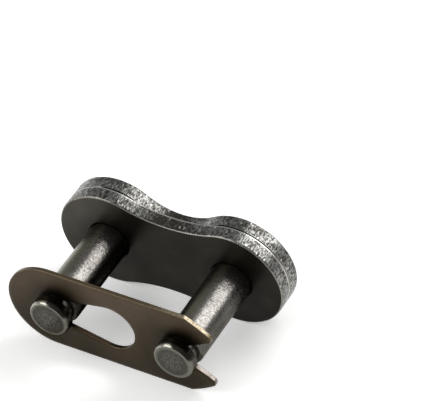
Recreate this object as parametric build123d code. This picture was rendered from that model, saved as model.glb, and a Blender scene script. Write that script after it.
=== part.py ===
from build123d import *
from math import asin, atan2, cos, degrees, hypot, radians, sin, sqrt
import os

os.makedirs("parts", exist_ok=True)

# Connecting link of a roller chain, mm. It is built lying down: the pins stand along +Z with their
# heads up, and z = 0 is the rear face of the fixed plate. It is then stood on the lower edges of its
# spring clip and cover plate, with the pin heads to the front (-Y).

# Pins
pitch = 12.7  # between the two pin axes
pin_dia = 3.97
head_len = 0.97
head_crown = 0.22  # rounding of the head's rim, across the pin
head_crown_len = 0.5  # and along it
shoulder_crown = 0.15  # rounding of the shoulder the clip rests on, across the pin
shoulder_crown_len = 0.35  # and along it
neck_depth = 0.435  # groove behind the head, all round
groove_slack = 0.38  # groove width left over once the clip is in it
rivet_spread = 0.165  # peened rear end, wider than the shank all round
rivet_len = 0.5
rivet_bevel = 0.2
bearing_len = 9.1  # bare shank between the clip and the cover plate slid right back

# Plates
plate_thick = 1.5
plate_height = 10.3
plate_roll = 0.2  # rounding of the blanked outline on a plate's outer face
plate_break = 0.08  # bevel of the outline on its inner face
fixed_waist_depth = 1.95  # below the top of the round ends, on each side
cover_waist_depth = 1.07
cover_clear = 0.04  # radial, between the pins and the cover plate's holes
cover_hole_edge = 0.12

# Spring clip
clip_thick = 0.5
clip_height = 9.1
clip_break = 0.08  # bevel of its outline on both faces
clip_roll = 0.2  # the front face rolls over towards that bevel, this far in from it
clip_roll_drop = 0.05  # and this far down it
seat_clear = 0.05  # radial, between a neck and its seat in the clip
closed_reach = 4.95  # closed end beyond the left pin's axis
keyhole_bite = 0.11  # the keyhole's sides stand in front of the left neck by this much
release_clear = 0.465  # radial, wide end of the keyhole round a pin's head
release_offset = 0.7  # its centre, to the left of the link's middle
mouth_bite = 0.35  # the prongs stand in front of the right neck by this much
taper_start = 0.75  # prongs begin to taper this far beyond the right pin's axis
prong_reach = 3.33  # prong tips beyond the right pin's axis
prong_drop = 1.83  # from the clip's straight edge to the centre of a rounded tip
prong_tip_dia = 0.96
prong_bow = 8  # degrees; the outer edge of a prong bows out, meeting its tip at this angle to a chord

half_pitch = pitch / 2
pin_radius = pin_dia / 2
neck_radius = pin_radius - neck_depth
seat_radius = neck_radius + seat_clear
plate_radius = plate_height / 2
clip_half = clip_height / 2

# Heights along the pins
cover_z = plate_thick
cover_top = cover_z + plate_thick
shoulder_z = cover_top + bearing_len
clip_top = shoulder_z + clip_thick
head_z = clip_top + groove_slack
tip_z = head_z + head_len


def waisted_outline(waist_depth):
    """Figure-8 outline: two round ends joined by concave arcs that are tangent to both."""
    waist = plate_radius - waist_depth
    arc = (half_pitch**2 + waist**2 - plate_radius**2) / (2 * waist_depth)
    share = plate_radius / (plate_radius + arc)
    x = half_pitch * (1 - share)
    y = (waist + arc) * share
    end = half_pitch + plate_radius
    with BuildSketch() as sketch:
        with BuildLine():
            ThreePointArc((x, -y), (end, 0), (x, y))
            ThreePointArc((x, y), (0, waist), (-x, y))
            ThreePointArc((-x, y), (-end, 0), (-x, -y))
            ThreePointArc((-x, -y), (0, -waist), (x, -y))
        make_face()
    return sketch.sketch


def make_plate(waist_depth, low, hole_radius, outer):
    """Blanked plate from low upwards; outer is -1 or 0, the end of the Z order its outer face is at."""
    plate = Pos(0, 0, low) * extrude(waisted_outline(waist_depth), plate_thick)
    plate = fillet(plate.faces().sort_by(Axis.Z)[outer].edges(), plate_roll)
    plate = chamfer(plate.faces().sort_by(Axis.Z)[-1 - outer].edges(), plate_break)
    for side in (-1, 1):
        plate -= Pos(side * half_pitch, 0, low + plate_thick / 2) * Cylinder(hole_radius, plate_thick)
    return plate


def make_cover():
    """The loose plate; its holes are bevelled on the front face, where they go over the pins."""
    plate = make_plate(cover_waist_depth, cover_z, pin_radius + cover_clear, -1)
    rims = plate.faces().sort_by(Axis.Z)[-1].inner_wires()
    return chamfer(rims.edges(), cover_hole_edge)


def make_pin(side):
    """Peened rear end, shank, neck for the clip and round-edged head, in one turned profile."""
    rivet_radius = pin_radius + rivet_spread
    shank_end = (pin_radius, shoulder_z - shoulder_crown_len)
    shoulder_edge = (pin_radius - shoulder_crown, shoulder_z)
    crown_z = tip_z - head_crown_len
    with BuildPart() as pin:
        with BuildSketch(Plane.XZ):
            with BuildLine():
                Polyline(
                    (0, -rivet_len),
                    (rivet_radius - rivet_bevel, -rivet_len),
                    (rivet_radius, rivet_bevel - rivet_len),
                    (rivet_radius, 0),
                    (pin_radius, 0),
                    shank_end,
                )
                TangentArc(shank_end, shoulder_edge, tangent=(0, 1))
                Polyline(
                    shoulder_edge,
                    (neck_radius, shoulder_z),
                    (neck_radius, head_z),
                    (pin_radius, head_z),
                    (pin_radius, crown_z),
                )
                EllipticalCenterArc((pin_radius - head_crown, crown_z), head_crown, head_crown_len)
                Polyline((pin_radius - head_crown, tip_z), (0, tip_z), (0, -rivet_len))
            make_face()
        revolve(axis=Axis.Z)
    return Pos(side * half_pitch, 0, 0) * pin.part


def touch_point(start, centre, radius, side):
    """Where a line from start touches a circle; side is +1 or -1 for its left or right edge."""
    dx = centre[0] - start[0]
    dy = centre[1] - start[1]
    span = hypot(dx, dy)
    heading = atan2(dy, dx) + side * asin(radius / span)
    run = sqrt(span**2 - radius**2)
    return start[0] + run * cos(heading), start[1] + run * sin(heading)


def seat_mouth(bite):
    """Corner where a seat opens, seen from the neck's axis: the opening is narrower than the neck."""
    half_width = neck_radius - bite
    return sqrt(seat_radius**2 - half_width**2), half_width


def below(point):
    return point[0], -point[1]


def clip_outline():
    tip = prong_tip_dia / 2
    tip_centre = (half_pitch + prong_reach - tip, clip_half - prong_drop)
    nose = (tip_centre[0] + tip, tip_centre[1])
    corner = (half_pitch + taper_start, clip_half)
    mouth_x, mouth_y = seat_mouth(mouth_bite)
    mouth = (half_pitch + mouth_x, mouth_y)
    chord_touch = touch_point(corner, tip_centre, tip, 1)
    around = atan2(chord_touch[1] - tip_centre[1], chord_touch[0] - tip_centre[0]) - radians(prong_bow)
    outer = (tip_centre[0] + tip * cos(around), tip_centre[1] + tip * sin(around))
    heading = (-sin(around), cos(around))
    inner = touch_point(mouth, tip_centre, tip, -1)
    closed_x = -half_pitch - closed_reach
    bend = (closed_x + clip_half, clip_half)
    with BuildSketch() as sketch:
        with BuildLine():
            Line(mouth, inner)
            ThreePointArc(inner, nose, outer)
            TangentArc(outer, corner, tangent=heading)
            Line(corner, bend)
            ThreePointArc(bend, (closed_x, 0), below(bend))
            Line(below(bend), below(corner))
            TangentArc(below(outer), below(corner), tangent=below(heading))
            ThreePointArc(below(outer), below(nose), below(inner))
            Line(below(inner), below(mouth))
            ThreePointArc(below(mouth), (half_pitch - seat_radius, 0), mouth)
        make_face()
    return sketch.sketch


def keyhole():
    """Left seat and release hole; the release hole is wide enough to pass over a pin's head."""
    wide = pin_radius + release_clear
    mouth_x, mouth_y = seat_mouth(keyhole_bite)
    entry = (mouth_x - half_pitch, mouth_y)
    touch = touch_point(entry, (-release_offset, 0), wide, 1)
    with BuildSketch() as sketch:
        with BuildLine():
            Line(entry, touch)
            ThreePointArc(touch, (wide - release_offset, 0), below(touch))
            Line(below(touch), below(entry))
            ThreePointArc(below(entry), (-half_pitch - seat_radius, 0), entry)
        make_face()
    return sketch.sketch


def make_clip():
    """Flat spring clip: a keyhole at the left pin, two prongs round the neck of the right one."""
    clip = Pos(0, 0, shoulder_z) * extrude(clip_outline() - keyhole(), clip_thick)
    faces = clip.faces().sort_by(Axis.Z)
    clip = chamfer(faces[0].edges() + faces[-1].edges(), clip_break)
    front = clip.faces().sort_by(Axis.Z)[-1]
    return chamfer(front.edges(), clip_roll, clip_roll_drop, reference=front)


pieces = {
    "pin_link_plate": make_plate(fixed_waist_depth, 0, pin_radius, 0),
    "cover_plate": make_cover(),
    "left_pin": make_pin(-1),
    "right_pin": make_pin(1),
    "spring_clip": make_clip(),
}

# Standing attitude. The clip is lower than the plates, so the link leans forward until the bevelled
# lower edge of the clip's front face is level with the rounded one of the cover plate's front face.
run = (clip_top - clip_break) - (cover_top - plate_roll)
rise = (plate_radius - plate_roll) - clip_half
lean = atan2(rise, run) + asin(plate_roll / hypot(rise, run))
standing = Rot(90 + degrees(lean), 0, 0)
box = Compound(children=[standing * piece for piece in pieces.values()]).bounding_box()
place = Pos(-box.center().X, -box.center().Y, -box.min.Z) * standing

for name, piece in pieces.items():
    export_step(place * piece, f"parts/{name}.step")
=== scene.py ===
# Chain connecting link: two waisted plates, two grooved pins and a spring clip.
# Blender 4.5, metres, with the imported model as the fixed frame.
import math

import bpy
from mathutils import Matrix, Vector


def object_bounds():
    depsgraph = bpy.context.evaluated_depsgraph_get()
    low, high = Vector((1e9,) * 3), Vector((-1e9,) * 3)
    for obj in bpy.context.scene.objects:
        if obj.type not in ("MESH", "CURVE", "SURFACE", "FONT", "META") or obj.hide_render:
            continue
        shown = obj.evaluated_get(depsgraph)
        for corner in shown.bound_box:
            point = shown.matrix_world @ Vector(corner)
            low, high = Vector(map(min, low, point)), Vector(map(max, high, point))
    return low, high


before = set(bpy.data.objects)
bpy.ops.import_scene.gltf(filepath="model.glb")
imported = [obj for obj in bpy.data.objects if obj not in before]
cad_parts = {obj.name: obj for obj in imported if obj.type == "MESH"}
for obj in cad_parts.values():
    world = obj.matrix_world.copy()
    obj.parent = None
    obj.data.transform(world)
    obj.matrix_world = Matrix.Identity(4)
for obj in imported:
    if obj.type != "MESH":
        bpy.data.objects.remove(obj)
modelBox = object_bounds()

print("frame loaded:", ", ".join(sorted(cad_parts)))

mm = 0.001


# sRGB hex to linear, by the standard curve
def toLinear(hexColour):
    channels = [int(hexColour[i:i + 2], 16) / 255 for i in (1, 3, 5)]
    linear = [c / 12.92 if c <= 0.04045 else ((c + 0.055) / 1.055) ** 2.4 for c in channels]
    return (*linear, 1.0)


# each socket gets another node's output, a hex colour or a constant
def addNode(tree, kind, sockets=None, **settings):
    node = tree.nodes.new(kind)
    for name, value in settings.items():
        setattr(node, name, value)
    for socket, value in (sockets or {}).items():
        if isinstance(value, bpy.types.NodeSocket):
            tree.links.new(value, node.inputs[socket])
        elif isinstance(value, str):
            node.inputs[socket].default_value = toLinear(value)
        else:
            node.inputs[socket].default_value = value
    return node


# The link was drawn lying down and then stood on its lower edges. Textures are laid out as
# it lay, in millimetres: x along it, y up across it, z along the pins from its rear face.
link = {
    "standing": (math.radians(93.53453), 0, 0),       # how far it was turned up
    "origin": (0.0, 6.7065974 * mm, 5.3132046 * mm),  # where the middle of its rear face is
    "halfPitch": 6.35,                                # mm, from its middle to a pin's axis
}


# What a finish can ask about a point: its place and x, y, z; offMiddle, how far along the
# link it is from the middle; fromPin, its distance from the nearer pin's axis; and flatness,
# which is 1 on faces square to the pins and 0 on walls along them.
def linkPlace(tree):
    coords = addNode(tree, "ShaderNodeTexCoord")
    place = addNode(tree, "ShaderNodeMapping", {
        "Vector": coords.outputs["Object"], "Location": link["origin"],
        "Rotation": link["standing"], "Scale": (mm, mm, mm)}, vector_type="TEXTURE")
    facing = addNode(tree, "ShaderNodeMapping", {
        "Vector": coords.outputs["Normal"], "Rotation": link["standing"]},
        vector_type="TEXTURE")
    facingParts = addNode(tree, "ShaderNodeSeparateXYZ", {0: facing.outputs[0]})
    flatness = addNode(tree, "ShaderNodeMath", {0: facingParts.outputs[2]}, operation="ABSOLUTE")
    spot = addNode(tree, "ShaderNodeSeparateXYZ", {0: place.outputs[0]})
    offMiddle = addNode(tree, "ShaderNodeMath", {0: spot.outputs[0]}, operation="ABSOLUTE")
    along = addNode(tree, "ShaderNodeMath", {
        0: offMiddle.outputs[0], 1: link["halfPitch"]}, operation="SUBTRACT")
    reach = addNode(tree, "ShaderNodeCombineXYZ", {0: along.outputs[0], 1: spot.outputs[1]})
    fromPin = addNode(tree, "ShaderNodeVectorMath", {0: reach.outputs[0]}, operation="LENGTH")
    return {"place": place.outputs[0], "x": spot.outputs[0], "y": spot.outputs[1],
            "z": spot.outputs[2], "offMiddle": offMiddle.outputs[0],
            "flatness": flatness.outputs[0], "fromPin": fromPin.outputs["Value"]}


def newMaterial(name):
    material = bpy.data.materials.new(name)
    material.use_nodes = True
    tree = material.node_tree
    tree.nodes.clear()
    shader = addNode(tree, "ShaderNodeBsdfPrincipled", {"Metallic": 1.0})
    addNode(tree, "ShaderNodeOutputMaterial", {"Surface": shader.outputs[0]})
    return material, tree, shader


def giveMaterial(nodeName, material):
    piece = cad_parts[nodeName]
    for slot in piece.material_slots:
        slot.material = material
    if not piece.material_slots:
        piece.data.materials.append(material)


# Entries in braces, here and for the pins and the clip, are the sockets of a ramp: where it
# starts and ends, and what it gives there.
plate = {
    "faceDark": "#1e1d1a",
    "faceLight": "#45423b",
    "oilAndShadeDark": "#1b1a17",       # old oil, with painted shade, round the pin holes
    "bevelColour": "#66635c",   # the holes' bevelled rims, painted lighter against their shade
    "wallDark": "#3e3c37",
    "wallBright": "#898987",    # the walls' high spots
    "chipColour": "#b3b3b1",
    "rimColour": "#88867f",     # where a wall rounds over to a face
    "ridgeColour": "#b9b8b3",   # the cover's rear edge, rubbed to bare steel
    "gapShadowColour": "#0b0b0a",     # a painted shadow behind that edge
    "faceRoughness": 0.36,
    "wallRoughness": {"To Min": 0.4, "To Max": 0.25},  # pitted, and rubbed smooth
    "coverShift": (7.3, 3.1, 0),   # mm, so that the two plates' patterns differ
    "fixedShift": (14.6, 6.2, 0),
    # patterns, counted per mm
    "pits": 6.0,                # along a wall: torn grains of about 0.17 mm
    "pitStretch": (1, 1, 0.5),  # twice as long across it, the way the punch tore them
    "pitDepth": 0.018,          # mm
    "patches": 1.3,             # patches of wear
    "patchShare": 0.4,          # how much they count beside the pits
    "worn": {"From Min": 0.56, "From Max": 0.86},  # heights of pits that are rubbed bright
    "clouds": 0.3,              # in the blackening
    "paintedLightAlong": -0.022,        # painted light: the faces lighter towards the left end, a share per mm
    "paintedLightAcross": 0.06,         # and towards the upper edge, with painted shade towards the lower edge
    "skin": 6.0,                # the tumbled skin, really finer than the render can show
    "skinDepth": 0.004,         # mm
    "chips": 4.5,               # cells that may hold a bright chip
    "chipShare": 0.2,           # share of the cells that do
    "chipSize": 0.36,           # of a cell
    "raggedness": 0.35,         # how far the pits pull a chip's outline about
    # where things are, as a flatness or in mm
    "offFace": {"From Min": 0.97, "From Max": 0.85},
    "overRim": {"From Min": 0.42, "From Max": 0.72},
    "holeZone": 2.7,            # from a pin's axis; within it the blackening stays
    "oiledAndShaded": {"From Min": 3.8, "From Max": 2.0, "To Max": 0.6},         # from a pin's axis
    "sheltered": {"From Min": 5.2, "From Max": 6.6, "To Max": -0.14},   # the waist, likewise
    "seam": 1.5,                # where the two plates meet
    "rubbedHalf": 0.2,          # the walls are rubbed more this near to it
    "rubbedMore": 0.25,
    "ridge": 1.64,
    "ridgeHalf": 0.055,
    "gap": 1.45,
    "gapHalf": 0.05,
    # the gap's painted shadow is deepest this far from the link's middle, and fades off there
    "gapShadowDeepestAt": 5.9,
    "gapShadowDepth": {"From Min": 1.1, "From Max": 2.0, "To Min": 1.0, "To Max": 0.3},
}


# Carbon steel plate: blanked from strip, case hardened, tumbled and oil blackened. The
# faces are a dark satin; the blanked walls are pitted, with the high spots rubbed bright.
def makePlateSteel(name, patternShift):
    material, tree, shader = newMaterial(name)
    where = linkPlace(tree)
    shift = addNode(tree, "ShaderNodeVectorMath", {
        0: where["place"], 1: patternShift}, operation="ADD")
    torn = addNode(tree, "ShaderNodeVectorMath", {
        0: shift.outputs[0], 1: plate["pitStretch"]}, operation="MULTIPLY")
    pits = addNode(tree, "ShaderNodeTexNoise", {
        "Vector": torn.outputs[0], "Scale": plate["pits"], "Detail": 2.0, "Roughness": 0.6})
    ragged = addNode(tree, "ShaderNodeVectorMath", {
        0: pits.outputs["Color"], 1: (plate["raggedness"],) * 3, 2: torn.outputs[0]},
        operation="MULTIPLY_ADD")
    cells = addNode(tree, "ShaderNodeTexVoronoi", {
        "Vector": ragged.outputs[0], "Scale": plate["chips"]})
    patches = addNode(tree, "ShaderNodeTexNoise", {
        "Vector": shift.outputs[0], "Scale": plate["patches"], "Detail": 2.0})
    clouds = addNode(tree, "ShaderNodeTexNoise", {
        "Vector": shift.outputs[0], "Scale": plate["clouds"], "Detail": 5.0})
    fine = addNode(tree, "ShaderNodeTexNoise", {
        "Vector": shift.outputs[0], "Scale": plate["skin"], "Detail": 2.0})

    # which part of the plate this is: a blanked wall, its rounded rim, the seam, or a face
    outside = addNode(tree, "ShaderNodeMath", {
        0: where["fromPin"], 1: plate["holeZone"]}, operation="GREATER_THAN")
    slope = addNode(tree, "ShaderNodeMapRange", {
        "Value": where["flatness"], **plate["offFace"]}, interpolation_type="SMOOTHSTEP")
    wall = addNode(tree, "ShaderNodeMath", {
        0: slope.outputs[0], 1: outside.outputs[0]}, operation="MULTIPLY")
    overRim = addNode(tree, "ShaderNodeMapRange", {
        "Value": where["flatness"], **plate["overRim"]}, interpolation_type="SMOOTHSTEP")
    rim = addNode(tree, "ShaderNodeMath", {
        0: overRim.outputs[0], 1: wall.outputs[0]}, operation="MULTIPLY")
    overSeam = addNode(tree, "ShaderNodeMath", {
        0: where["z"], 1: plate["seam"]}, operation="SUBTRACT")
    offSeam = addNode(tree, "ShaderNodeMath", {0: overSeam.outputs[0]}, operation="ABSOLUTE")
    rubbed = addNode(tree, "ShaderNodeMapRange", {
        "Value": offSeam.outputs[0], "From Min": plate["rubbedHalf"],
        "From Max": plate["gapHalf"], "To Max": plate["rubbedMore"]},
        interpolation_type="SMOOTHSTEP")
    gap = addNode(tree, "ShaderNodeMath", {
        0: where["z"], 1: plate["gap"], 2: plate["gapHalf"]}, operation="COMPARE")
    # the gap's painted shadow is deep beside the pins, and faint elsewhere
    pastGapShadowDeepest = addNode(tree, "ShaderNodeMath", {
        0: where["offMiddle"], 1: plate["gapShadowDeepestAt"]}, operation="SUBTRACT")
    offGapShadowDeepest = addNode(tree, "ShaderNodeMath", {0: pastGapShadowDeepest.outputs[0]}, operation="ABSOLUTE")
    gapShadowDepth = addNode(tree, "ShaderNodeMapRange", {
        "Value": offGapShadowDeepest.outputs[0], **plate["gapShadowDepth"]}, interpolation_type="SMOOTHSTEP")
    gapShadowWall = addNode(tree, "ShaderNodeMath", {
        0: gapShadowDepth.outputs[0], 1: wall.outputs[0]}, operation="MULTIPLY")
    inGapShadow = addNode(tree, "ShaderNodeMath", {
        0: gap.outputs[0], 1: gapShadowWall.outputs[0]}, operation="MULTIPLY")
    ridge = addNode(tree, "ShaderNodeMath", {
        0: where["z"], 1: plate["ridge"], 2: plate["ridgeHalf"]}, operation="COMPARE")
    onRidge = addNode(tree, "ShaderNodeMath", {
        0: ridge.outputs[0], 1: wall.outputs[0]}, operation="MULTIPLY")
    # old oil and painted shade darken the face round each pin
    oilAndShade = addNode(tree, "ShaderNodeMapRange", {
        "Value": where["fromPin"], **plate["oiledAndShaded"]}, interpolation_type="SMOOTHSTEP")

    # tumbling rubs the round ends more than the waist
    speck = addNode(tree, "ShaderNodeMath", {
        0: patches.outputs[0], 1: plate["patchShare"], 2: pits.outputs[0]},
        operation="MULTIPLY_ADD")
    sheltered = addNode(tree, "ShaderNodeMapRange", {
        "Value": where["fromPin"], **plate["sheltered"]}, interpolation_type="SMOOTHSTEP")
    spared = addNode(tree, "ShaderNodeMath", {
        0: speck.outputs[0], 1: sheltered.outputs[0]}, operation="ADD")
    lifted = addNode(tree, "ShaderNodeMath", {
        0: spared.outputs[0], 1: rubbed.outputs[0]}, operation="ADD")
    worn = addNode(tree, "ShaderNodeMapRange", {
        "Value": lifted.outputs[0], **plate["worn"]}, interpolation_type="SMOOTHSTEP")
    drawn = addNode(tree, "ShaderNodeSeparateColor", {0: cells.outputs["Color"]})
    chance = addNode(tree, "ShaderNodeMath", {
        0: drawn.outputs[0], 1: sheltered.outputs[0]}, operation="ADD")
    few = addNode(tree, "ShaderNodeMath", {
        0: chance.outputs[0], 1: 1 - plate["chipShare"]}, operation="GREATER_THAN")
    core = addNode(tree, "ShaderNodeMath", {
        0: cells.outputs["Distance"], 1: plate["chipSize"]}, operation="LESS_THAN")
    chip = addNode(tree, "ShaderNodeMath", {
        0: few.outputs[0], 1: core.outputs[0]}, operation="MULTIPLY")
    scaled = addNode(tree, "ShaderNodeMix", {
        0: worn.outputs[0], 6: plate["wallDark"], 7: plate["wallBright"]}, data_type="RGBA")
    wallColour = addNode(tree, "ShaderNodeMix", {
        0: chip.outputs[0], 6: scaled.outputs[2], 7: plate["chipColour"]}, data_type="RGBA")
    rimmed = addNode(tree, "ShaderNodeMix", {
        0: rim.outputs[0], 6: wallColour.outputs[2], 7: plate["rimColour"]}, data_type="RGBA")

    # the faces: clouds in the blackening, with painted light towards the left end and upper edge
    # and painted shade towards the lower edge
    cloudsWithPaintedLight = addNode(tree, "ShaderNodeMath", {
        0: where["x"], 1: plate["paintedLightAlong"], 2: clouds.outputs[0]}, operation="MULTIPLY_ADD")
    cloudsWithPaintedLightAndShade = addNode(tree, "ShaderNodeMath", {
        0: where["y"], 1: plate["paintedLightAcross"], 2: cloudsWithPaintedLight.outputs[0]},
        operation="MULTIPLY_ADD", use_clamp=True)
    cloudy = addNode(tree, "ShaderNodeMix", {
        0: cloudsWithPaintedLightAndShade.outputs[0], 6: plate["faceDark"], 7: plate["faceLight"]}, data_type="RGBA")
    face = addNode(tree, "ShaderNodeMix", {
        0: oilAndShade.outputs[0], 6: cloudy.outputs[2], 7: plate["oilAndShadeDark"]}, data_type="RGBA")
    # the holes' bevels are painted lighter, against the shade that falls in them
    holeBevelLightened = addNode(tree, "ShaderNodeMath", {
        0: slope.outputs[0], 1: wall.outputs[0]}, operation="SUBTRACT", use_clamp=True)
    bevelPaintedLighter = addNode(tree, "ShaderNodeMix", {
        0: holeBevelLightened.outputs[0], 6: face.outputs[2], 7: plate["bevelColour"]}, data_type="RGBA")

    both = addNode(tree, "ShaderNodeMix", {
        0: wall.outputs[0], 6: bevelPaintedLighter.outputs[2], 7: rimmed.outputs[2]}, data_type="RGBA")
    ridged = addNode(tree, "ShaderNodeMix", {
        0: onRidge.outputs[0], 6: both.outputs[2], 7: plate["ridgeColour"]}, data_type="RGBA")
    # a painted shadow in the gap between the plates
    colour = addNode(tree, "ShaderNodeMix", {
        0: inGapShadow.outputs[0], 6: ridged.outputs[2], 7: plate["gapShadowColour"]}, data_type="RGBA")
    tree.links.new(colour.outputs[2], shader.inputs["Base Color"])

    wallRoughness = addNode(tree, "ShaderNodeMapRange", {
        "Value": worn.outputs[0], **plate["wallRoughness"]})
    roughness = addNode(tree, "ShaderNodeMix", {
        0: wall.outputs[0], 2: plate["faceRoughness"], 3: wallRoughness.outputs[0]})
    tree.links.new(roughness.outputs[0], shader.inputs["Roughness"])
    relief = addNode(tree, "ShaderNodeMath", {
        0: pits.outputs[0], 1: wall.outputs[0]}, operation="MULTIPLY")
    pitted = addNode(tree, "ShaderNodeBump", {
        "Height": relief.outputs[0], "Distance": plate["pitDepth"] * mm})
    skin = addNode(tree, "ShaderNodeBump", {
        "Height": fine.outputs[0], "Distance": plate["skinDepth"] * mm,
        "Normal": pitted.outputs[0]})
    tree.links.new(skin.outputs[0], shader.inputs["Normal"])
    return material


giveMaterial("cover_plate", makePlateSteel("blackenedCarbonSteelCover", plate["coverShift"]))
giveMaterial("pin_link_plate", makePlateSteel("blackenedCarbonSteelPlate", plate["fixedShift"]))
print("plates: blackened carbon steel")

pin = {
    "shankDark": "#6a6763",
    "shankLight": "#94918c",
    "leftColour": "#6b6a57",    # an olive stain on the upper left side
    "rustColour": "#2c271f",
    # oil, with painted shade in the groove, under the shank and at the head's side
    "oilAndShadeDark": "#262520",
    "crownColour": "#9c998e",   # the head's rim, rubbed bright
    "crownShaded": "#66645d",     # and painted darker at its lower right, as shade
    "endDark": "#3a3934",
    "endLight": "#5c5a53",
    "endRim": "#7b7a70",        # the end's rubbed outer ring
    "shankRoughness": 0.27,
    "crownRoughness": 0.18,
    "endRoughness": 0.5,
    # patterns, counted per mm
    "lines": 1.4,               # the grinding lines; real ones are too fine to show, so
    "lineStretch": (0.4, 0.4, 9),  # these are 12 or 13 per mm, drawn out round the pin
    "lineDepth": 0.012,         # mm
    "specks": 3.2,              # unevenness of the skin, and of the oil on it
    "speckDepth": 0.03,         # mm
    "dots": 5.5,                # the bare steel's pits, of about 0.18 mm
    "dotDepth": 0.009,          # mm
    "stains": 0.6,
    "stained": {"From Min": 0.38, "From Max": 0.62},  # their heights, from dark to light
    "grains": {"From Min": 0.66, "From Max": 0.36},   # and those of the pits
    "grainShare": 0.5,          # the two count half each
    "rusted": {"From Min": 0.64, "From Max": 0.7, "To Max": 0.5},  # pits that hold rust
    "spotted": {"From Min": 0.36, "From Max": 0.52},  # pits that stand dark on the end
    # and how clean the end is between them, from its middle out to its rim
    "cleanness": {"From Min": 0.6, "From Max": 1.7, "To Min": 1.0, "To Max": 0.35},
    "oilAndShadeSpots": (0.5, 0.65),    # how unevenly the oil and painted shade lie, and how much at the least
    # where things are, as a flatness or in mm
    "ontoEnd": {"From Min": 0.9, "From Max": 0.98},
    "headStart": 12.9,
    "ontoCrown": {"From Min": 13.5, "From Max": 13.75},
    "ringEnd": 1.72,            # from the axis
    "ringShare": 0.8,
    "groove": {"From Min": 12.0, "From Max": 12.2, "To Max": 0.85},  # painted shade, with oil in it
    "root": {"From Min": 5.2, "From Max": 3.0, "To Max": 0.6},       # and painted shade at the cover
    "oilAndShadeFade": 0.8,
    "oilAndShadeTopFade": 1.2,
    "lowerRightWay": (0.8, -0.6),    # along and across the link, to the shank's lower right
    "lowerRightShade": {"From Min": 0.1, "From Max": 0.9},  # from the axis, that way
    "leftStain": {"From Min": -0.9, "From Max": -1.5, "To Max": 0.75},  # likewise
    "crownShadeLowerRight": {"From Min": -1.0, "From Max": 0.2},                  # likewise
    "runWay": (0.55, 0.84),     # to the upper right of the head's side, painted dark there as shade
    "run": {"From Min": 1.5, "From Max": 1.7, "To Max": 0.9},  # from the axis, that way
    "left": {
        "axis": -link["halfPitch"],
        "patternShift": (5.7, 2.3, 0),
        "oilAndShadeFrom": 10.0,        # oil and painted shade from the groove reach back to here
        "oilAndShadeTop": 1.2,          # and up to here across the link
        "lowerRightShadeShare": 0.95,           # share of painted shade along its whole lower right side
        "lowerRightGlanceTint": "#554433",  # the tint of what glances off that painted shade
        "ringFrom": 1.5,        # from the axis, where the end's ring begins
    },
    "right": {
        "axis": link["halfPitch"],
        "patternShift": (11.4, 4.6, 0),
        "oilAndShadeFrom": 11.3,
        "oilAndShadeTop": -0.3,
        "lowerRightShadeShare": 0.72,
        "lowerRightGlanceTint": "#c4c0b6",
        "ringFrom": 1.38,
    },
}
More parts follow.
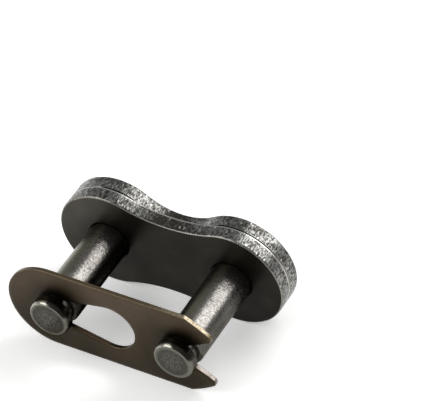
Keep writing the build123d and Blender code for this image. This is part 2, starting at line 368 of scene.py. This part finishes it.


# Hardened alloy steel pin: turned, centreless ground and tumbled. A satin shank with fine
# lines round it and oil stains; the groove is dark with oil and painted shade, and the ends are
# dull and spotted.
def makePinSteel(name, own):
    material, tree, shader = newMaterial(name)
    where = linkPlace(tree)
    shift = addNode(tree, "ShaderNodeVectorMath", {
        0: where["place"], 1: own["patternShift"]}, operation="ADD")
    turned = addNode(tree, "ShaderNodeVectorMath", {
        0: shift.outputs[0], 1: pin["lineStretch"]}, operation="MULTIPLY")
    grind = addNode(tree, "ShaderNodeTexNoise", {
        "Vector": turned.outputs[0], "Scale": pin["lines"], "Detail": 2.0})
    speck = addNode(tree, "ShaderNodeTexNoise", {
        "Vector": shift.outputs[0], "Scale": pin["specks"], "Detail": 3.0, "Roughness": 0.6})
    dots = addNode(tree, "ShaderNodeTexNoise", {
        "Vector": shift.outputs[0], "Scale": pin["dots"], "Detail": 2.0})
    stain = addNode(tree, "ShaderNodeTexNoise", {
        "Vector": shift.outputs[0], "Scale": pin["stains"], "Detail": 4.0})
    endFace = addNode(tree, "ShaderNodeMapRange", {
        "Value": where["flatness"], **pin["ontoEnd"]})
    crown = addNode(tree, "ShaderNodeMapRange", {
        "Value": where["z"], **pin["ontoCrown"]}, interpolation_type="SMOOTHSTEP")

    # Oil and painted shade darken the groove, the head's side and the under side of the shank
    # near the clip. The left pin is darkened nearly all round where it lies in the keyhole, with
    # oil and painted shade.
    nearClip = addNode(tree, "ShaderNodeMapRange", {
        "Value": where["z"], "From Min": own["oilAndShadeFrom"],
        "From Max": own["oilAndShadeFrom"] + pin["oilAndShadeFade"]}, interpolation_type="SMOOTHSTEP")
    underside = addNode(tree, "ShaderNodeMapRange", {
        "Value": where["y"], "From Min": own["oilAndShadeTop"] + pin["oilAndShadeTopFade"],
        "From Max": own["oilAndShadeTop"]}, interpolation_type="SMOOTHSTEP")
    oilAndShadeBelow = addNode(tree, "ShaderNodeMath", {
        0: nearClip.outputs[0], 1: underside.outputs[0]}, operation="MULTIPLY")
    # painted shade along the lower right of the shank
    lowerRightAlong, lowerRightAcross = pin["lowerRightWay"]
    toRight = addNode(tree, "ShaderNodeMath", {
        0: where["x"], 1: lowerRightAlong, 2: -lowerRightAlong * own["axis"]}, operation="MULTIPLY_ADD")
    lowerRight = addNode(tree, "ShaderNodeMath", {
        0: where["y"], 1: lowerRightAcross, 2: toRight.outputs[0]}, operation="MULTIPLY_ADD")
    lowerRightShade = addNode(tree, "ShaderNodeMapRange", {
        "Value": lowerRight.outputs[0], **pin["lowerRightShade"], "To Max": own["lowerRightShadeShare"]},
        interpolation_type="SMOOTHSTEP")
    oilAndShadeBelowAndRight = addNode(tree, "ShaderNodeMath", {
        0: oilAndShadeBelow.outputs[0], 1: lowerRightShade.outputs[0]}, operation="MAXIMUM")
    inGroove = addNode(tree, "ShaderNodeMapRange", {"Value": where["z"], **pin["groove"]})
    atRoot = addNode(tree, "ShaderNodeMapRange", {
        "Value": where["z"], **pin["root"]}, interpolation_type="SMOOTHSTEP")
    oilAndShadeWithRoot = addNode(tree, "ShaderNodeMath", {
        0: oilAndShadeBelowAndRight.outputs[0], 1: atRoot.outputs[0]}, operation="MAXIMUM")
    oilyAndShaded = addNode(tree, "ShaderNodeMath", {
        0: oilAndShadeWithRoot.outputs[0], 1: inGroove.outputs[0]}, operation="MAXIMUM")
    unevenness, leastOilAndShade = pin["oilAndShadeSpots"]
    spottedOilAndShade = addNode(tree, "ShaderNodeMath", {
        0: speck.outputs[0], 1: unevenness, 2: leastOilAndShade},
        operation="MULTIPLY_ADD", use_clamp=True)
    oilAndShade = addNode(tree, "ShaderNodeMath", {
        0: oilyAndShaded.outputs[0], 1: spottedOilAndShade.outputs[0]}, operation="MULTIPLY")

    stained = addNode(tree, "ShaderNodeMapRange", {"Value": stain.outputs[0], **pin["stained"]})
    spots = addNode(tree, "ShaderNodeMapRange", {"Value": dots.outputs[0], **pin["spotted"]})
    grains = addNode(tree, "ShaderNodeMapRange", {"Value": dots.outputs[0], **pin["grains"]})
    blotched = addNode(tree, "ShaderNodeMath", {
        0: stained.outputs[0], 1: grains.outputs[0]}, operation="ADD")
    mottling = addNode(tree, "ShaderNodeMath", {
        0: blotched.outputs[0], 1: pin["grainShare"]}, operation="MULTIPLY")
    shank = addNode(tree, "ShaderNodeMix", {
        0: mottling.outputs[0], 6: pin["shankDark"], 7: pin["shankLight"]}, data_type="RGBA")
    upperLeft = addNode(tree, "ShaderNodeMapRange", {
        "Value": lowerRight.outputs[0], **pin["leftStain"]}, interpolation_type="SMOOTHSTEP")
    olive = addNode(tree, "ShaderNodeMix", {
        0: upperLeft.outputs[0], 6: shank.outputs[2], 7: pin["leftColour"]}, data_type="RGBA")
    rust = addNode(tree, "ShaderNodeMapRange", {"Value": dots.outputs[0], **pin["rusted"]})
    specked = addNode(tree, "ShaderNodeMix", {
        0: rust.outputs[0], 6: olive.outputs[2], 7: pin["rustColour"]}, data_type="RGBA")
    oiledAndShaded = addNode(tree, "ShaderNodeMix", {
        0: oilAndShade.outputs[0], 6: specked.outputs[2], 7: pin["oilAndShadeDark"]}, data_type="RGBA")

    # the rim's colour is painted darker towards its lower right, as shade
    crownShadeLowerRight = addNode(tree, "ShaderNodeMapRange", {
        "Value": lowerRight.outputs[0], **pin["crownShadeLowerRight"]})
    rubbed = addNode(tree, "ShaderNodeMix", {
        0: crownShadeLowerRight.outputs[0], 6: pin["crownColour"], 7: pin["crownShaded"]},
        data_type="RGBA")
    crowned = addNode(tree, "ShaderNodeMix", {
        0: crown.outputs[0], 6: oiledAndShaded.outputs[2], 7: rubbed.outputs[2]}, data_type="RGBA")
    # painted shade: the head's side is darkened to its upper right, in the same dark colour
    runAlong, runAcross = pin["runWay"]
    upperRight = addNode(tree, "ShaderNodeMath", {
        0: where["x"], 1: runAlong, 2: -runAlong * own["axis"]}, operation="MULTIPLY_ADD")
    towardsShadedSide = addNode(tree, "ShaderNodeMath", {
        0: where["y"], 1: runAcross, 2: upperRight.outputs[0]}, operation="MULTIPLY_ADD")
    runShare = addNode(tree, "ShaderNodeMapRange", {
        "Value": towardsShadedSide.outputs[0], **pin["run"]}, interpolation_type="SMOOTHSTEP")
    onHead = addNode(tree, "ShaderNodeMath", {
        0: where["z"], 1: pin["headStart"]}, operation="GREATER_THAN")
    run = addNode(tree, "ShaderNodeMath", {
        0: runShare.outputs[0], 1: onHead.outputs[0]}, operation="MULTIPLY")
    overrun = addNode(tree, "ShaderNodeMix", {
        0: run.outputs[0], 6: crowned.outputs[2], 7: pin["oilAndShadeDark"]}, data_type="RGBA")

    # the end is spotted most towards its rim, which is rubbed to a pale ring
    towardsRim = addNode(tree, "ShaderNodeMapRange", {
        "Value": where["fromPin"], **pin["cleanness"]})
    clean = addNode(tree, "ShaderNodeMath", {
        0: spots.outputs[0], 1: towardsRim.outputs[0]}, operation="MULTIPLY")
    end = addNode(tree, "ShaderNodeMix", {
        0: clean.outputs[0], 6: pin["endDark"], 7: pin["endLight"]}, data_type="RGBA")
    nearRim = addNode(tree, "ShaderNodeMapRange", {
        "Value": where["fromPin"], "From Min": own["ringFrom"], "From Max": pin["ringEnd"],
        "To Max": pin["ringShare"]}, interpolation_type="SMOOTHSTEP")
    ringed = addNode(tree, "ShaderNodeMix", {
        0: nearRim.outputs[0], 6: end.outputs[2], 7: pin["endRim"]}, data_type="RGBA")
    colour = addNode(tree, "ShaderNodeMix", {
        0: endFace.outputs[0], 6: overrun.outputs[2], 7: ringed.outputs[2]}, data_type="RGBA")
    tree.links.new(colour.outputs[2], shader.inputs["Base Color"])
    # reflections on that painted shade take their own tint
    glance = addNode(tree, "ShaderNodeMix", {
        0: lowerRightShade.outputs[0], 6: "#ffffff", 7: own["lowerRightGlanceTint"]}, data_type="RGBA")
    tree.links.new(glance.outputs[2], shader.inputs["Specular Tint"])

    turnedRoughness = addNode(tree, "ShaderNodeMix", {
        0: crown.outputs[0], 2: pin["shankRoughness"], 3: pin["crownRoughness"]})
    roughness = addNode(tree, "ShaderNodeMix", {
        0: endFace.outputs[0], 2: turnedRoughness.outputs[0], 3: pin["endRoughness"]})
    tree.links.new(roughness.outputs[0], shader.inputs["Roughness"])
    ground = addNode(tree, "ShaderNodeBump", {
        "Height": grind.outputs[0], "Distance": pin["lineDepth"] * mm})
    mottled = addNode(tree, "ShaderNodeBump", {
        "Height": speck.outputs[0], "Distance": pin["speckDepth"] * mm,
        "Normal": ground.outputs[0]})
    pitted = addNode(tree, "ShaderNodeBump", {
        "Height": dots.outputs[0], "Distance": pin["dotDepth"] * mm,
        "Normal": mottled.outputs[0]})
    tree.links.new(pitted.outputs[0], shader.inputs["Normal"])
    return material


giveMaterial("left_pin", makePinSteel("groundAlloySteelLeft", pin["left"]))
giveMaterial("right_pin", makePinSteel("groundAlloySteelRight", pin["right"]))
print("pins: ground alloy steel")

clip = {
    "faceDark": "#2d2617",
    "faceLight": "#4e4235",
    # oil, and painted shade round the pin heads and where the front rolls over
    "oilAndShadeDark": "#1f1a13",
    "wallDark": "#665a48",
    "wallLight": "#b3a78f",     # rubbed to pale tan
    "scuffDark": "#6c635d",     # the mouth of the lower prong, scuffed grey
    "scuffLight": "#988f89",
    "bevelColour": "#5f5443",   # the front and rear edges, rubbed along their whole length
    "innerWall": "#3a3025",     # the walls of the keyhole and the seat keep their oxide
    "roughness": 0.38,
    # patterns, counted per mm
    "clouds": 0.3,              # in the oxide
    "lines": 1.0,               # the strip's rolling lines; real ones are too fine to show,
    "lineStretch": (0.6, 8, 1),  # so these are 8 per mm
    "lineDepth": 0.006,         # mm
    "specks": 5.0,
    "speckDepth": 0.01,         # mm
    "patchy": {"From Min": 0.3, "From Max": 0.58},  # heights of specks that are rubbed
    # where things are, as a flatness or in mm
    "offFace": {"From Min": 0.9, "From Max": 0.5},
    "rolledOver": {"From Min": 0.99, "From Max": 0.975},
    "edgeShadeShare": 0.35,          # of painted shade where the front rolls over; below, twice that
    "bevel": math.sqrt(0.5),    # flatness of a bevel at 45 degrees
    "bevelHalf": 0.1,
    "innerHalf": 3.2,           # up or down; the keyhole and the seat lie within this
    "innerEnds": (-9.0, 7.8),   # and between these along it
    "scuffStart": 7.5,
    "oiledAndShaded": {"From Min": 3.5, "From Max": 2.1, "To Max": 0.45},  # from a pin's axis
    "oilAndShadeAbove": {"From Min": -1.2, "From Max": 0.8},              # up across the clip
    "handled": {"From Min": 3.5, "From Max": 7.2},
    # the upper prong's tip begins on a slant, where x and this share of y add up to tip
    "tipSlant": 0.45,
    "tip": {"From Min": 10.85, "From Max": 10.6},
    # painted shade, up across the clip and away from a pin's axis
    "paintedShadeByHeight": {"From Min": -6.0, "From Max": 6.0, "To Min": -0.55, "To Max": 0.45},
    "paintedShadeByPin": {"From Min": 2.5, "From Max": 6.3, "To Min": -0.3, "To Max": 0.2},
}


# Spring steel strip: blanked, hardened and tempered in air. The temper leaves an even brown
# oxide; the outer walls are rubbed to pale tan, oil and painted shade lie dark round the pins,
# and painted shade darkens the lower edge.
def makeClipSteel(name):
    material, tree, shader = newMaterial(name)
    where = linkPlace(tree)
    clouds = addNode(tree, "ShaderNodeTexNoise", {
        "Vector": where["place"], "Scale": clip["clouds"], "Detail": 3.0})
    rolled = addNode(tree, "ShaderNodeVectorMath", {
        0: where["place"], 1: clip["lineStretch"]}, operation="MULTIPLY")
    lines = addNode(tree, "ShaderNodeTexNoise", {
        "Vector": rolled.outputs[0], "Scale": clip["lines"], "Detail": 3.0})
    speck = addNode(tree, "ShaderNodeTexNoise", {
        "Vector": where["place"], "Scale": clip["specks"], "Detail": 3.0})

    wall = addNode(tree, "ShaderNodeMapRange", {
        "Value": where["flatness"], **clip["offFace"]}, interpolation_type="SMOOTHSTEP")
    offAxis = addNode(tree, "ShaderNodeMath", {0: where["y"]}, operation="ABSOLUTE")
    inWidth = addNode(tree, "ShaderNodeMath", {
        0: offAxis.outputs[0], 1: clip["innerHalf"]}, operation="LESS_THAN")
    innerStart, innerEnd = clip["innerEnds"]
    pastStart = addNode(tree, "ShaderNodeMath", {
        0: where["x"], 1: innerStart}, operation="GREATER_THAN")
    beforeEnd = addNode(tree, "ShaderNodeMath", {
        0: where["x"], 1: innerEnd}, operation="LESS_THAN")
    inLength = addNode(tree, "ShaderNodeMath", {
        0: pastStart.outputs[0], 1: beforeEnd.outputs[0]}, operation="MULTIPLY")
    inner = addNode(tree, "ShaderNodeMath", {
        0: inWidth.outputs[0], 1: inLength.outputs[0]}, operation="MULTIPLY")
    # oil, with painted shade, darkens the face above and round each pin head
    nearPin = addNode(tree, "ShaderNodeMapRange", {
        "Value": where["fromPin"], **clip["oiledAndShaded"]}, interpolation_type="SMOOTHSTEP")
    above = addNode(tree, "ShaderNodeMapRange", {
        "Value": where["y"], **clip["oilAndShadeAbove"]}, interpolation_type="SMOOTHSTEP")
    oilAndShade = addNode(tree, "ShaderNodeMath", {
        0: nearPin.outputs[0], 1: above.outputs[0]}, operation="MULTIPLY")

    # The prongs' outer walls are rubbed the most and the closed end's hardly at all. Beyond
    # the slant, the upper prong's tip keeps its oxide too.
    patchy = addNode(tree, "ShaderNodeMapRange", {"Value": speck.outputs[0], **clip["patchy"]})
    handled = addNode(tree, "ShaderNodeMapRange", {"Value": where["x"], **clip["handled"]})
    slanted = addNode(tree, "ShaderNodeMath", {
        0: where["y"], 1: clip["tipSlant"], 2: where["x"]}, operation="MULTIPLY_ADD")
    shortOfTip = addNode(tree, "ShaderNodeMapRange", {
        "Value": slanted.outputs[0], **clip["tip"]})
    lowerHalf = addNode(tree, "ShaderNodeMath", {0: where["y"], 1: 0.0}, operation="LESS_THAN")
    rubbedAlong = addNode(tree, "ShaderNodeMath", {
        0: shortOfTip.outputs[0], 1: lowerHalf.outputs[0]}, operation="MAXIMUM")
    handledShare = addNode(tree, "ShaderNodeMath", {
        0: handled.outputs[0], 1: rubbedAlong.outputs[0]}, operation="MULTIPLY")
    worn = addNode(tree, "ShaderNodeMath", {
        0: patchy.outputs[0], 1: handledShare.outputs[0]}, operation="MULTIPLY")

    # painted shade: the face darker towards the lower edge and near the pins, lighter in the
    # middle
    paintedShadeByHeight = addNode(tree, "ShaderNodeMapRange", {"Value": where["y"], **clip["paintedShadeByHeight"]})
    paintedShadeByPin = addNode(tree, "ShaderNodeMapRange", {"Value": where["fromPin"], **clip["paintedShadeByPin"]})
    paintedShading = addNode(tree, "ShaderNodeMath", {
        0: paintedShadeByHeight.outputs[0], 1: paintedShadeByPin.outputs[0]}, operation="ADD")
    shade = addNode(tree, "ShaderNodeMath", {
        0: clouds.outputs[0], 1: paintedShading.outputs[0]}, operation="ADD", use_clamp=True)
    cloudy = addNode(tree, "ShaderNodeMix", {
        0: shade.outputs[0], 6: clip["faceDark"], 7: clip["faceLight"]}, data_type="RGBA")
    # and painted shade where the front rolls over to the edge, most along the lower side
    edgeShadeShare = addNode(tree, "ShaderNodeMath", {
        0: lowerHalf.outputs[0], 1: clip["edgeShadeShare"], 2: clip["edgeShadeShare"]},
        operation="MULTIPLY_ADD")
    rolledOver = addNode(tree, "ShaderNodeMapRange", {
        "Value": where["flatness"], **clip["rolledOver"]})
    edgeShaded = addNode(tree, "ShaderNodeMath", {
        0: rolledOver.outputs[0], 1: edgeShadeShare.outputs[0]}, operation="MULTIPLY")
    dark = addNode(tree, "ShaderNodeMath", {
        0: oilAndShade.outputs[0], 1: edgeShaded.outputs[0]}, operation="MAXIMUM")
    face = addNode(tree, "ShaderNodeMix", {
        0: dark.outputs[0], 6: cloudy.outputs[2], 7: clip["oilAndShadeDark"]}, data_type="RGBA")

    outer = addNode(tree, "ShaderNodeMix", {
        0: worn.outputs[0], 6: clip["wallDark"], 7: clip["wallLight"]}, data_type="RGBA")
    # the bevels catch a line of their own, except where the walls are rubbed as bright
    atBevel = addNode(tree, "ShaderNodeMath", {
        0: where["flatness"], 1: clip["bevel"], 2: clip["bevelHalf"]}, operation="COMPARE")
    unhandled = addNode(tree, "ShaderNodeMath", {
        0: handledShare.outputs[0], 1: -1.0, 2: 1.0}, operation="MULTIPLY_ADD")
    onBevel = addNode(tree, "ShaderNodeMath", {
        0: atBevel.outputs[0], 1: unhandled.outputs[0]}, operation="MULTIPLY")
    scuffs = addNode(tree, "ShaderNodeMix", {
        0: worn.outputs[0], 6: clip["scuffDark"], 7: clip["scuffLight"]}, data_type="RGBA")
    past = addNode(tree, "ShaderNodeMath", {
        0: where["x"], 1: clip["scuffStart"]}, operation="GREATER_THAN")
    scuffed = addNode(tree, "ShaderNodeMath", {
        0: lowerHalf.outputs[0], 1: past.outputs[0]}, operation="MULTIPLY")
    rubbed = addNode(tree, "ShaderNodeMix", {
        0: scuffed.outputs[0], 6: outer.outputs[2], 7: scuffs.outputs[2]}, data_type="RGBA")
    walls = addNode(tree, "ShaderNodeMix", {
        0: inner.outputs[0], 6: rubbed.outputs[2], 7: clip["innerWall"]}, data_type="RGBA")
    faced = addNode(tree, "ShaderNodeMix", {
        0: wall.outputs[0], 6: face.outputs[2], 7: walls.outputs[2]}, data_type="RGBA")
    colour = addNode(tree, "ShaderNodeMix", {
        0: onBevel.outputs[0], 6: faced.outputs[2], 7: clip["bevelColour"]}, data_type="RGBA")
    tree.links.new(colour.outputs[2], shader.inputs["Base Color"])

    shader.inputs["Roughness"].default_value = clip["roughness"]
    brushed = addNode(tree, "ShaderNodeBump", {
        "Height": lines.outputs[0], "Distance": clip["lineDepth"] * mm})
    mottled = addNode(tree, "ShaderNodeBump", {
        "Height": speck.outputs[0], "Distance": clip["speckDepth"] * mm,
        "Normal": brushed.outputs[0]})
    tree.links.new(mottled.outputs[0], shader.inputs["Normal"])
    return material


giveMaterial("spring_clip", makeClipSteel("temperedSpringSteel"))
print("clip: tempered spring steel")

studio = {
    "floorHalf": 3.0,           # m, to each side
    "floorDrop": 0.01,          # mm, below the link's lowest edges
    "floorColour": "#fcfcfb",
    "floorGlow": 0.30,          # what camera and mirror rays see of the paper's own whiteness
    "roomColour": "#ffffff",
    "roomLevel": 0.42,
    # the horizon's level from the far left to the far right, and how high it reaches
    "horizon": {"From Min": -0.9, "From Max": 0.9, "To Min": 1.05, "To Max": 0.45},
    "horizonFade": {"From Min": 0.08, "From Max": 0.22},
    # softboxes: the way to each, how far in m, the way its width runs, its size and level
    "backBox": {"towards": (0.375, 0.648, 0.664), "distance": 0.36,
                "across": (0.87, 0, -0.49), "size": (0.32, 0.20), "level": 4.0},
    "frontBox": {"towards": (-0.62, -0.45, 0.64), "distance": 0.40,
                 "across": (0.59, -0.81, 0), "size": (0.34, 0.24), "level": 2.7},
}


def makeFloor():
    half = studio["floorHalf"]
    mesh = bpy.data.meshes.new("floor")
    mesh.from_pydata([(-half, -half, 0), (half, -half, 0), (half, half, 0), (-half, half, 0)],
                     [], [(0, 1, 2, 3)])
    floor = bpy.data.objects.new("floor", mesh)
    bpy.context.collection.objects.link(floor)
    floor.location.z = modelBox[0].z - studio["floorDrop"] * mm
    material = bpy.data.materials.new("mattWhitePaper")
    material.use_nodes = True
    tree = material.node_tree
    tree.nodes.clear()
    paper = addNode(tree, "ShaderNodeBsdfDiffuse", {"Color": studio["floorColour"]})
    rays = addNode(tree, "ShaderNodeLightPath")
    seen = addNode(tree, "ShaderNodeMath", {
        0: rays.outputs["Is Camera Ray"], 1: rays.outputs["Is Glossy Ray"]}, operation="MAXIMUM")
    seenToo = addNode(tree, "ShaderNodeMath", {
        0: seen.outputs[0], 1: rays.outputs["Is Transmission Ray"]}, operation="MAXIMUM")
    strength = addNode(tree, "ShaderNodeMath", {
        0: seenToo.outputs[0], 1: studio["floorGlow"]}, operation="MULTIPLY")
    glow = addNode(tree, "ShaderNodeEmission", {"Strength": strength.outputs[0]})
    both = addNode(tree, "ShaderNodeAddShader", {0: paper.outputs[0], 1: glow.outputs[0]})
    addNode(tree, "ShaderNodeOutputMaterial", {"Surface": both.outputs[0]})
    mesh.materials.append(material)


def makeSoftbox(name):
    box = studio[name]
    width, height = box["size"]
    lamp = bpy.data.lights.new(name, "AREA")
    lamp.shape = "RECTANGLE"
    lamp.size, lamp.size_y = width, height
    lamp.energy = box["level"] * math.pi * width * height  # watts that give it that level
    back = Vector(box["towards"]).normalized()
    up = back.cross(Vector(box["across"])).normalized()
    turn = Matrix((up.cross(back), up, back)).transposed().to_4x4()
    holder = bpy.data.objects.new(name, lamp)
    holder.matrix_world = Matrix.Translation(back * box["distance"]) @ turn
    bpy.context.collection.objects.link(holder)


# a dim grey room, pale at the horizon where the paper ends
def makeRoom():
    world = bpy.data.worlds.new("paleRoom")
    world.use_nodes = True
    tree = world.node_tree
    tree.nodes.clear()
    way = addNode(tree, "ShaderNodeTexCoord")
    rise = addNode(tree, "ShaderNodeSeparateXYZ", {0: way.outputs["Generated"]})
    horizon = addNode(tree, "ShaderNodeMapRange", {
        "Value": rise.outputs[0], **studio["horizon"]})
    level = addNode(tree, "ShaderNodeMapRange", {
        "Value": rise.outputs[2], **studio["horizonFade"],
        "To Min": horizon.outputs[0], "To Max": studio["roomLevel"]},
        interpolation_type="SMOOTHSTEP")
    room = addNode(tree, "ShaderNodeBackground", {
        "Color": studio["roomColour"], "Strength": level.outputs[0]})
    addNode(tree, "ShaderNodeOutputWorld", {"Surface": room.outputs[0]})
    bpy.context.scene.world = world


shot = {
    "place": (0.10902371, -0.16656532, 0.18582733),   # m
    "turn": (49.20150807, 3.10896677, 28.63120716),   # degrees
    "lens": 248.848,                                  # mm
    "sensor": 36,                                     # mm
    "sees": (0.005, 20),                              # m, from and to
}


def makeCamera():
    lens = bpy.data.cameras.new("camera")
    lens.lens = shot["lens"]
    lens.sensor_width = shot["sensor"]
    lens.clip_start, lens.clip_end = shot["sees"]
    camera = bpy.data.objects.new("camera", lens)
    camera.location = shot["place"]
    camera.rotation_euler = [math.radians(a) for a in shot["turn"]]
    bpy.context.collection.objects.link(camera)
    bpy.context.scene.camera = camera


makeFloor()
makeSoftbox("backBox")
makeSoftbox("frontBox")
makeRoom()
makeCamera()
bpy.context.scene.view_settings.view_transform = "Standard"
print("floor, lights and camera set")
